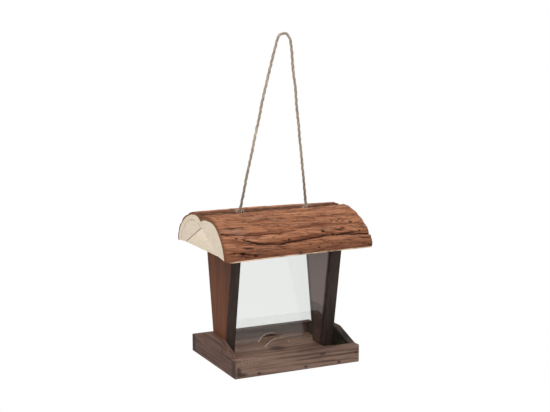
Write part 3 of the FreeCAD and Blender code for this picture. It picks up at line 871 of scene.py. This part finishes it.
REAR = Log(
    name="rear",
    side=1,
    left=[
        (-2, 220.4), (10, 226.2), (24, 228.8), (40, 227), (56.9, 222), (74.4, 212.5), (87.8, 200),
        (95, 187.2), (96, 176),
    ],
    right=[
        (-2, 219.5), (8, 222.8), (20, 226.2), (33, 226.9), (48, 224), (62, 218), (76, 208), (87, 196.5),
        (94, 185), (95.6, 176),
    ],
    middle=(29, 158.5),
    turn=(-24.5, 75.5),
    furrows=[
        (0.6, (0.22, 0.2, 0.24, 0.22, 0.23)),
        (1.3, (0.47, 0.51, 0.46, 0.49, 0.46)),
        (1.1, (0.72, 0.73, 0.76, 0.72, 0.74)),
        (0.6, (0.88, 0.88, 0.86, 0.88, 0.89)),
    ],
    cracks=[
        ([(-119, 60), (-60, 64), (-10, 57), (50, 62), (90, 58)], 1.5, 0.9),
        ([(-40, 92), (0, 95), (60, 90), (119, 93)], 1.3, 0.8),
    ],
    pits=[(-80, 45, 1.6), (-30, 75, 1.8), (20, 40, 1.3), (75, 80, 1.7), (100, 50, 1.2)],
    old_ring=59,
    seed=47,
)


def drift(x, y, seed, octaves=3):
    """A smooth random value, about -1 to 1."""
    return noise.fractal(Vector((x, y, seed)), 0.8, 2.0, octaves)


def limited(value):
    """A value that stops at 0 and at 1."""
    return min(1.0, max(0.0, value))


def ease(value):
    """0 to 1 with soft ends."""
    t = limited(value)
    return t * t * (3 - 2 * t)


def hump(value):
    """1 at 0, and nearly 0 beyond 2 on both sides."""
    return math.exp(-(value**2))


def bark_plates(log, along, way):
    """How far the main plates of bark rise over the slab's outline, in millimetres. The front bark juts out
    below its lowest furrow, more so to the right."""
    lip = FRONT_LIP * along if log.side < 0 else 0.0
    ends = [0] + [float(np.interp(along, np.linspace(0, 1, len(f)), f)) for _, f in log.furrows] + [1]
    ways, rises = [0], [0]
    for plate, (start, stop) in enumerate(zip(ends, ends[1:])):
        ways += [start + 0.3 * (stop - start), start + 0.7 * (stop - start), stop]
        if plate < len(log.furrows):
            rises += [PLATE_RISE, PLATE_RISE, -log.furrows[plate][0]]
        else:
            rises += [PLATE_RISE + lip, PLATE_RISE + 0.65 * lip, 0.4 * lip]
    return float(np.mean([np.interp(way + shift, ways, rises) for shift in (-0.012, 0, 0.012)]))


def bark_relief(log, x, arc):
    """Height of the finer ridges and cracks in millimetres, and how much of a crack this is."""
    seed = log.seed
    sway = 2.4 * drift(x / 60, arc / 40, seed + 7)
    plates = drift(x / 95, (arc + sway) / 15, seed)
    ridges = 1 - 2 * abs(drift(x / 44, (arc + 1.5 * sway) / 5, seed + 3, 4))
    fibres = drift(x / 12, arc / 1.2, seed + 5, 2)
    height = 0.35 * plates + 0.55 * ridges + 0.16 * fibres - 0.25
    slow = drift(x / 80, (arc + sway) / 9, seed + 11, 2)
    where = drift(x / 46, arc / 26, seed + 13, 2)
    split = hump(slow * 10) * limited(0.35 + 1.8 * where)
    height -= 0.8 * split
    furrow = 0.75 * split
    for line, deep, wide in log.cracks:
        xs, arcs = zip(*line)
        run = ease((x - xs[0]) / 8 + (1 if xs[0] <= -ROOF_HALF else 0))
        run *= ease((xs[-1] - x) / 8 + (1 if xs[-1] >= ROOF_HALF else 0))
        past = arc - float(np.interp(x, xs, arcs)) + 1.2 * drift(x / 14, 0.5, seed + 17)
        gap = hump(past / wide) * run * (1.0 + 0.3 * drift(x / 20, 2.5, seed + 19))
        height -= deep * gap
        furrow = max(furrow, gap * min(1.0, deep / 1.4))
    for middle, at, size in log.pits:
        pit = hump(math.hypot((x - middle) / (1.9 * size), (arc - at) / size))
        height -= 1.3 * pit
        furrow = max(furrow, pit)
    return height, min(1.0, furrow)


def end_reach(x):
    """How far the slabs are stretched at X, to reach past the blocks at the right end."""
    start = 30
    return RIGHT_REACH * ease((x - start) / (ROOF_HALF - start))


def bark_depth(log, y, look):
    """How thick the bark is at Y, in millimetres: the front slab's is thicker by the ridge."""
    return look.thickness / MM + (RIDGE_EXTRA * ease((y + 50) / 32) if log.side < 0 else 0)


def seam_place(x):
    """How far behind the ridge the two slabs' bark meets at X."""
    start = 62
    return SEAM_BEND * ease((x - start) / (ROOF_HALF - start)) + 0.5 * drift(x / 16, 3.1, 5)


def notch(x, half):
    """How far the seam's edge gives way to the rope at X."""
    for hole, _ in (LEFT_HOLE, RIGHT_HOLE):
        if abs(x - hole) < half:
            return math.sqrt(half**2 - (x - hole) ** 2)
    return 0.0


def end_outlines(log):
    """A slab's outlines at its left and right ends, with as many points."""
    steps = np.linspace(0, 1, OUTLINE_POINTS)
    lines = [smooth_line(end, OUTLINE_STEP) for end in (log.left, log.right)]
    return [points_at(steps, np.linspace(0, 1, len(line)), line) for line in lines]


def slab_outline(ends, x):
    """A slab's outline at X, between the outlines of its ends."""
    share = (x + ROOF_HALF) / (2 * ROOF_HALF)
    return ends[0] * (1 - share) + ends[1] * share


def bark_outline(log, ends, x):
    """A slab's outline at X. The front one droops at its eave, most near the left end."""
    line = slab_outline(ends, x)
    if log.side < 0:
        to_right = (ROOF_HALF - x) / (2 * ROOF_HALF)
        droop = FRONT_DROOP * to_right**2 * (0.4 + 0.6 * ease((x + ROOF_HALF) / 12))
        way = np.linspace(0, 1, len(line))
        line[:, 1] -= droop * np.clip((way - 0.86) / 0.14, 0, 1) ** 2
    return line


def ways_out(log, line, arcs, at):
    """The directions out of the log at some arcs of its outline."""
    behind, ahead = [points_at(np.clip(at + step, 0, arcs[-1]), arcs, line) for step in (-0.5, 0.5)]
    across, up = (ahead - behind).T
    return log.side * np.column_stack([-up, across]) / np.hypot(across, up)[:, None]


def bark_height(log, point, look):
    """How far the bark stands over the outline, in millimetres, and how much of a crack this is."""
    from_end = point.x + ROOF_HALF
    height, crack = bark_relief(log, point.x, point.arc)
    # The ridges flatten and the bark rounds off at the left end.
    height = height * (0.35 + 0.65 * ease(from_end / 10)) - 0.9 * (1 - ease(from_end / 2.5))
    across, up = log.side * (point.y - log.middle[0]), point.z - log.middle[1]
    way = (math.degrees(math.atan2(across, up)) - log.turn[0]) / (log.turn[1] - log.turn[0])
    height += bark_plates(log, from_end / (2 * ROOF_HALF), way)
    # It rounds off at the eave and at the seam.
    height -= 1.3 * (1 - ease(point.to_eave / 2.2)) + 0.7 * (1 - ease(point.to_seam / 3))
    if log.side > 0:
        # The rear bark bulges by the ridge, most halfway along it.
        height += REAR_BULGE * (1 - (point.x / ROOF_HALF) ** 2) * ease((70 - point.arc) / 40)
    return max(height, 0.5 - bark_depth(log, point.y, look)), crack


def bark_marks(log, point, height, crack):
    """What the bark's finish reads at a point, in the order of BARK_MARKS."""
    x, arc, from_end = point.x, point.arc, point.x + ROOF_HALF
    rise = 0.5 + 0.36 * height
    furrow = max(crack, 0.6 - 0.6 * ease(point.to_seam / 1.5))
    seam_shade_and_dark_foot = 0.0
    lower = ease((40 - point.to_eave) / 40)
    if log.side > 0:
        # Painted shade darkens the rear bark near the seam, where the valley between the slabs lies in shade.
        seam_shade = 1 - ease((point.to_seam - 19) / (9 + 4 * drift(x / 18, 6.3, log.seed)))
        seam_shade_and_dark_foot = seam_shade * limited(0.85 + 0.5 * drift(x / 24, arc / 2.5, log.seed + 31))
    else:
        # A darker band runs along the front bark's left part.
        band = hump((arc - 66) / 10) * ease((50 - x) / 40)
        lower = max(lower, band * (0.42 + 0.25 * drift(x / 40, arc / 6, log.seed + 41)))
    bare = ease((2.2 - point.to_eave) / 0.8) * ease(0.75 + 0.7 * drift(x / 22, 1.7, log.seed))
    bare *= ease((from_end - 4) / 14)
    # Painted shade darkens the bark within a few millimetres of both ends, where its rounded edges lie in
    # shade.
    end = max(1 - ease((from_end - 1) / 3), 1 - ease((ROOF_HALF - x) / 1.8))
    return rise, furrow, seam_shade_and_dark_foot, lower, bare, end


def add_inner_side(piece, places, look):
    """Closes a sheet of bark to a shell whose inner side has the given places, and marks that side as cut."""
    outer_count = len(piece.data.vertices)
    pick(piece)
    shell = piece.modifiers.new("shell", "SOLIDIFY")
    shell.thickness = look.thickness
    shell.offset = -1
    bpy.ops.object.modifier_apply(modifier=shell.name)
    for vertex, place in zip(piece.data.vertices[outer_count:], places):
        vertex.co = place
    cut = [float(i >= outer_count) for i in range(len(piece.data.vertices))]
    piece.data.attributes.new("cut", "FLOAT", "POINT").data.foreach_set("value", cut)
    bpy.ops.object.mode_set(mode="EDIT")
    bpy.ops.mesh.select_all(action="SELECT")
    bpy.ops.mesh.normals_make_consistent(inside=False)
    bpy.ops.object.mode_set(mode="OBJECT")


def make_bark(log, look):
    """Bark over one slab: a grid wrapped over the log, raised and furrowed, with a smooth inner side."""
    deselect()
    bpy.ops.mesh.primitive_grid_add(x_subdivisions=BARK_CELLS[0], y_subdivisions=BARK_CELLS[1], size=1)
    piece = bpy.context.active_object
    piece.name = f"{log.name}_bark"
    piece.data.name = piece.name
    grid = np.array([vertex.co for vertex in piece.data.vertices]) + 0.5
    outer, inner = np.zeros((2, len(grid), 3))
    marks = np.zeros((len(BARK_MARKS), len(grid)))
    ends = end_outlines(log)
    for share in np.unique(grid[:, 0].round(6)):
        x = (2 * share - 1) * ROOF_HALF
        line = bark_outline(log, ends, x)
        arcs = distances(line)
        seam = seam_place(x) + log.side * (0.5 + notch(x, look.rope_notch / MM))
        start = float(np.interp(log.side * seam, log.side * line[:, 0], arcs))
        column = np.nonzero(abs(grid[:, 0] - share) < 1e-5)[0]
        at = start + (1 - grid[column, 1]) * (arcs[-1] - start)
        places, outs = points_at(at, arcs, line), ways_out(log, line, arcs, at)
        for i, arc, place, out in zip(column, at, places, outs):
            point = BarkPoint(x, *place, arc, arc - start, arcs[-1] - arc)
            height, crack = bark_height(log, point, look)
            marks[:, i] = bark_marks(log, point, height, crack)
            # The ends are ragged, and the front bark reaches less far past the right end below its crack.
            rag = 0.7 * drift(arc / 7, 4.2, log.seed + 23) * ease(abs(x) - ROOF_HALF + 6)
            past = end_reach(x) * (1 - 0.6 * ease((arc - 88) / 10) if log.side < 0 else 1)
            outer[i] = (x + past + math.copysign(rag, x), *(place + out * height))
            inner[i] = (x + past, *(place - out * bark_depth(log, point.y, look)))
    piece.data.vertices.foreach_set("co", (outer * MM).ravel())
    for label, values in zip(BARK_MARKS, marks):
        piece.data.attributes.new(label, "FLOAT", "POINT").data.foreach_set("value", values)
    add_inner_side(piece, inner * MM, look)
    bpy.ops.object.shade_smooth_by_angle(angle=math.radians(60))
    return piece


def fit_under_bark(piece, log, look):
    """Rounds a slab's outer face and moves it to just under its bark."""
    ends = end_outlines(log)

    def cover(vertex):
        """Radius of the outline over a vertex, the vertex's own one, and its way from the log's middle."""
        x, y, z = vertex.co / MM
        line = slab_outline(ends, x) - np.array(log.middle)
        angles = np.arctan2(line[:, 0], line[:, 1])
        order = np.argsort(angles)
        across, up = y - log.middle[0], z - log.middle[1]
        over = np.interp(math.atan2(across, up), angles[order], np.hypot(*line.T)[order])
        return over, math.hypot(across, up), across, up

    def is_covered(vertex):
        """Whether a vertex lies on the face that the bark covers."""
        over, radius, _, _ = cover(vertex)
        return COVER_LEAST < over - radius < COVER_MOST

    def under_bark(vertex):
        """Y and Z just under the bark, on a vertex's way from the log's middle."""
        over, radius, across, up = cover(vertex)
        reach = (over - bark_depth(log, vertex.co.y / MM, look) - COVER_GAP) / radius
        return (log.middle[0] + across * reach) * MM, (log.middle[1] + up * reach) * MM

    pick(piece)
    covered = [is_covered(vertex) for vertex in piece.data.vertices]
    clear_selection(piece)
    for face in piece.data.polygons:
        face.select = all(covered[i] for i in face.vertices)
    bpy.ops.object.mode_set(mode="EDIT")
    bpy.ops.mesh.select_mode(type="FACE")
    bpy.ops.mesh.subdivide(number_cuts=3)
    bpy.ops.object.mode_set(mode="OBJECT")
    for vertex in piece.data.vertices:
        if is_covered(vertex):
            vertex.co.y, vertex.co.z = under_bark(vertex)
    seam_foot, seam_top, opening = 200 * MM, 213 * MM, 0.4 * MM
    for vertex in piece.data.vertices:
        at_seam = abs(vertex.co.y) < 0.8 * MM and vertex.co.z > seam_foot
        if at_seam and vertex.co.z > seam_top:
            vertex.co.y = seam_place(vertex.co.x / MM) * MM
            vertex.co.z = under_bark(vertex)[1]
        if at_seam and abs(vertex.co.x) > (ROOF_HALF - 1) * MM:
            vertex.co.y += log.side * opening
        vertex.co.x += end_reach(vertex.co.x / MM) * MM
    piece.data.update()


def sag_left_foot(piece):
    """Lowers the sawn foot of the roof's left end a little, most at the slabs' lips."""
    sag, front_sag, front_jut, rear_sag = 1.5 * MM, 3.2 * MM, 1.2 * MM, 3.9 * MM
    for vertex in piece.data.vertices:
        near = max(0.0, -vertex.co.x / (ROOF_HALF * MM))
        if vertex.co.z < 182 * MM and vertex.co.y > 85 * MM:
            vertex.co.z -= rear_sag * near
        elif vertex.co.z < 181 * MM and vertex.co.y < 70 * MM:
            lip = ease((-vertex.co.y / MM - 66) / 15)
            vertex.co.z -= (sag + front_sag * lip) * near
            vertex.co.y -= front_jut * lip * near
    piece.data.update()


def loosen(block):
    """Shrinks a gable block's outer face toward its front foot, so that its rear slope leaves a seam open
    outwards and closed inside."""
    places = [vertex.co for vertex in block.data.vertices]
    front, foot = min(p.y for p in places), min(p.z for p in places)
    face = max(abs(p.x) for p in places)
    shrink = 0.987
    for place in places:
        if abs(place.x) > face - 1 * MM:
            place.y = front + (place.y - front) * shrink
            place.z = foot + (place.z - foot) * shrink


def on_rear_slope(block, key):
    """Whether an edge lies on the slope against the rear slab, off the block's foot."""
    middle = (block.data.vertices[key[0]].co + block.data.vertices[key[1]].co) / 2
    return middle.y > 20 * MM and middle.z > 184 * MM


class FEEDER_OT_camera(bpy.types.Operator):
    """Places the camera at the photograph's angle"""

    bl_idname = "feeder.camera"
    bl_label = "Camera"

    def execute(self, context):
        azimuth, elevation, distance = math.radians(-25.73), math.radians(9.05), 1692 * MM
        target = Vector((1.3 * MM, 0, 234 * MM))
        back = Vector((
            math.sin(azimuth) * math.cos(elevation),
            -math.cos(azimuth) * math.cos(elevation),
            math.sin(elevation),
        ))
        deselect()
        bpy.ops.object.camera_add(location=target + back * distance)
        camera = context.active_object
        camera.rotation_euler = back.to_track_quat("Z", "Y").to_euler()
        camera.data.sensor_width = 36
        camera.data.lens = 73.3
        context.scene.camera = camera
        return {"FINISHED"}


class FEEDER_OT_rope(bpy.types.Operator):
    """Twists the rope's loop and its two tails"""

    bl_idname = "feeder.rope"
    bl_label = "Rope"

    def execute(self, context):
        look = context.scene.feeder.rope
        material = jute("jute", look, look.body, look.shade, 0.75)
        stray = jute("stray_jute", look, look.stray, look.body, 0)
        size = look.diameter
        line = route_line("loop_route", LOOP_ROUTE, 1.3 * MM)
        loop = make_strands("rope_loop_strands", line, look, size * 1.08, 1)
        fuzz = make_fibres("rope_loop_fibres", line, size, look.fibres, look.tuft, 2)
        for piece, made_of in ((loop, material), (fuzz, stray)):
            piece.data.materials.append(made_of)
            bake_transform(piece)
        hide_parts("rope_loop")
        for side, route in (("left", LEFT_TAIL_ROUTE), ("right", RIGHT_TAIL_ROUTE)):
            line = route_line(f"{side}_route", route, 0.9 * MM)
            tail = make_strands(f"{side}_rope_tail_strands", line, look, size, 3)
            tail.data.materials.append(material)
            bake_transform(tail)
            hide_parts(f"{side}_rope_tail")
            knot = make_strands(f"{side}_overhand_knot", knot_line(side), look, size * 0.86, 4)
            dress(knot, material, "base")
            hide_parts(f"{side}_knot")
        return {"FINISHED"}


class FEEDER_OT_bark(bpy.types.Operator):
    """Wraps both slabs in bark"""

    bl_idname = "feeder.bark"
    bl_label = "Bark"

    def execute(self, context):
        look = context.scene.feeder.bark
        material = bark_finish(look)
        for log in (FRONT, REAR):
            piece = make_bark(log, look)
            dress(piece, material, "roof")
            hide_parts(f"{log.name}_slab_bark")
        return {"FINISHED"}


class FEEDER_OT_pale_wood(bpy.types.Operator):
    """Shapes the pale slabs under the bark and the blocks that close the roof's ends"""

    bl_idname = "feeder.pale_wood"
    bl_label = "Pale wood"

    def execute(self, context):
        look = context.scene.feeder.wood
        bark = context.scene.feeder.bark
        for log in (FRONT, REAR):
            slab = copy_of(f"{log.name}_slab_wood", f"{log.name}_slab")
            fit_under_bark(slab, log, bark)
            sag_left_foot(slab)
            pick(slab)
            bpy.ops.object.shade_smooth_by_angle(angle=math.radians(30))
            middle = (0, *log.middle)
            material = sapwood(f"{log.name}_sapwood", look, middle, srgb(212, 194, 170), log.old_ring)
            dress(slab, material, "roof")
            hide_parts(f"{log.name}_slab_wood")
        material = sapwood("block_sapwood", look, (0, -30, 150), srgb(214, 198, 168), 0)
        for side in ("left", "right"):
            block = copy_of(f"{side}_gable_block", f"{side}_block")
            rear = {key for key in outer_edges(block) if on_rear_slope(block, key)}
            loosen(block)
            sag_left_foot(block)
            round_edges(block, rear, look.sawn_edge)
            dress(block, material, "roof")
            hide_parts(f"{side}_gable_block")
        return {"FINISHED"}


class FEEDER_OT_tray(bpy.types.Operator):
    """Rounds and stains the tray's floor and rims, with painted shade on the floor under the hopper and on
    the right rim's inner side
    """

    bl_idname = "feeder.tray"
    bl_label = "Tray"

    def execute(self, context):
        look = context.scene.feeder.wood
        warm = (look.tray_pale, look.tray, look.tray_deep)
        aged = (srgb(131, 105, 92), srgb(104, 80, 69), srgb(58, 42, 35))
        soaked = (srgb(104, 78, 66), srgb(84, 60, 50), srgb(48, 34, 29))
        dark = (srgb(98, 76, 65), srgb(76, 58, 48), srgb(22, 24, 19))
        # The front rim's knots, a dark line by its left end and the stains round its nails lie on its outer
        # face.
        front = -83
        dark_spots = [
            ((-96, front, 9), (6, 10, 10)),
            ((-90, front, 5), (10, 10, 4)),
            ((40, front, 20), (8, 8, 3)),
            ((-103, front, 13), (2.6, 16, 40)),
        ]
        nail_stains = [((x, front, 4.2), (4.5, 4, 2.6)) for x in (-64, 12, 68)]
        nail_stains += [((97, front, 15.2), (3, 3, 3))]
        scuffs = [((-80, -80, 25), (26, 14, 9))]
        # The right rim's inner side is darkened nearly to black: partly a darker stain, partly painted shade
        # under the wall and the roof.
        inner_darkening = [((88, 0, 20), (8, 300, 300)), ((97, -45, 32), (12, 34, 9))]
        boards = {
            # The floor's dark spot by the panels' arches is a painted shadow under the hopper.
            "tray_floor": ("X", warm, (0, 0, 0), [((6, 2, 11), (17, 20, 8))], [((-28, 4, 11), (22, 42, 6))]),
            "front_rim": ("X", aged, (13, 4, 7), dark_spots + nail_stains, scuffs),
            "rear_rim": ("X", soaked, (50, 31, 19), (), ()),
            "left_rim": ("Y", soaked, (5, 60, 3), [((-102.5, -36, 30), (9, 2.4, 11))], ()),
            "right_rim": ("Y", dark, (77, 20, 9), inner_darkening, ()),
        }
        for node, (along, tones, middle, spots, rubbed) in boards.items():
            board = rounded_copy(node, f"{node}_board", look.board_edge)
            stain = board_finish(f"{node}_stain", along, tones, middle, spots, rubbed)
            dress(board, stain, "base")
            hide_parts(node)
        return {"FINISHED"}


class FEEDER_OT_walls(bpy.types.Operator):
    """Rounds and stains the hopper's walls"""

    bl_idname = "feeder.walls"
    bl_label = "Walls"

    def execute(self, context):
        look = context.scene.feeder.wood
        material = wall_finish(look)
        for side in ("left", "right"):
            wall = rounded_copy(f"{side}_wall", f"{side}_wall_board", look.board_edge)
            dress(wall, material, "base")
            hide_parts(f"{side}_wall")
        return {"FINISHED"}


class FEEDER_OT_panels(bpy.types.Operator):
    """Makes the clear panels, with frosted edges that carry a painted glow"""

    bl_idname = "feeder.panels"
    bl_label = "Clear panels"

    def execute(self, context):
        look = context.scene.feeder.panel
        clear, frosted = clear_acrylic(look), frosted_edge_glow(look)
        for side in ("front", "rear"):
            sheet = rounded_copy(f"{side}_panel", f"{side}_sheet", look.edge)
            bpy.ops.mesh.customdata_custom_splitnormals_clear()
            bpy.ops.object.shade_flat()
            sheet.visible_shadow = False
            dress(sheet, clear, f"{side}_panel")
            sheet.data.materials.append(frosted)
            foot = min(vertex.co.z for vertex in sheet.data.vertices) + 1 * MM
            for face in sheet.data.polygons:
                face.material_index = int(abs(face.normal.y) < 0.7 and face.center.z > foot)
            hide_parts(f"{side}_panel")
        return {"FINISHED"}


class FEEDER_OT_nails(bpy.types.Operator):
    """Gives the nails their steel"""

    bl_idname = "feeder.nails"
    bl_label = "Nails"

    def execute(self, context):
        material = nail_finish()
        for name, node in NODES.items():
            if name.endswith(("_nail", "_nails")):
                node.data.materials.clear()
                node.data.materials.append(material)
        return {"FINISHED"}


class FEEDER_OT_stage(bpy.types.Operator):
    """Lays the pale floor and sets the lamps"""

    bl_idname = "feeder.stage"
    bl_label = "Stage"

    def execute(self, context):
        look = context.scene.feeder.stage
        floor_size = 14
        middle = Vector((0, 0, 150 * MM))
        deselect()
        bpy.ops.mesh.primitive_plane_add(size=floor_size, location=(0, 0, -look.drop))
        floor = context.active_object
        floor.name = "floor"
        floor.data.materials.append(pale_floor())
        for name, place, wide, watts in (
            ("key_lamp", (-0.9, -0.5, 2.2), 1.8, look.key),
            ("fill_lamp", (-1.1, -2.0, 0.8), 1.2, look.fill),
        ):
            deselect()
            bpy.ops.object.light_add(type="AREA", location=place)
            lamp = context.active_object
            lamp.name = name
            lamp.data.shape = "DISK"
            lamp.data.size = wide
            lamp.data.energy = watts
            lamp.rotation_euler = (Vector(place) - middle).to_track_quat("Z", "Y").to_euler()
        light_world(context.scene, look.sky)
        context.scene.view_settings.view_transform = "Standard"
        return {"FINISHED"}


STEPS = (
    FEEDER_OT_camera,
    FEEDER_OT_rope,
    FEEDER_OT_bark,
    FEEDER_OT_pale_wood,
    FEEDER_OT_tray,
    FEEDER_OT_walls,
    FEEDER_OT_panels,
    FEEDER_OT_nails,
    FEEDER_OT_stage,
)


class FEEDER_PT_sidebar(bpy.types.Panel):
    """The feeder's steps and sizes"""

    bl_idname = "FEEDER_PT_sidebar"
    bl_label = "Bird feeder"
    bl_space_type = "VIEW_3D"
    bl_region_type = "UI"
    bl_category = "Feeder"

    def draw(self, context):
        for step in STEPS:
            self.layout.operator(step.bl_idname)
        for group in ("rope", "bark", "wood", "panel", "stage"):
            look = getattr(context.scene.feeder, group)
            box = self.layout.box()
            for name in look.__annotations__:
                box.prop(look, name)


CLASSES = (RopeLook, BarkLook, WoodLook, PanelLook, StageLook, FeederLook, *STEPS, FEEDER_PT_sidebar)


def register():
    for cls in CLASSES:
        bpy.utils.register_class(cls)
    bpy.types.Scene.feeder = bpy.props.PointerProperty(type=FeederLook)


def unregister():
    del bpy.types.Scene.feeder
    for cls in reversed(CLASSES):
        bpy.utils.unregister_class(cls)


def main():
    register()
    bpy.ops.feeder.camera()
    bpy.ops.feeder.rope()
    bpy.ops.feeder.bark()
    bpy.ops.feeder.pale_wood()
    bpy.ops.feeder.tray()
    bpy.ops.feeder.walls()
    bpy.ops.feeder.panels()
    bpy.ops.feeder.nails()
    bpy.ops.feeder.stage()
    deselect()


if __name__ == "__main__":
    main()
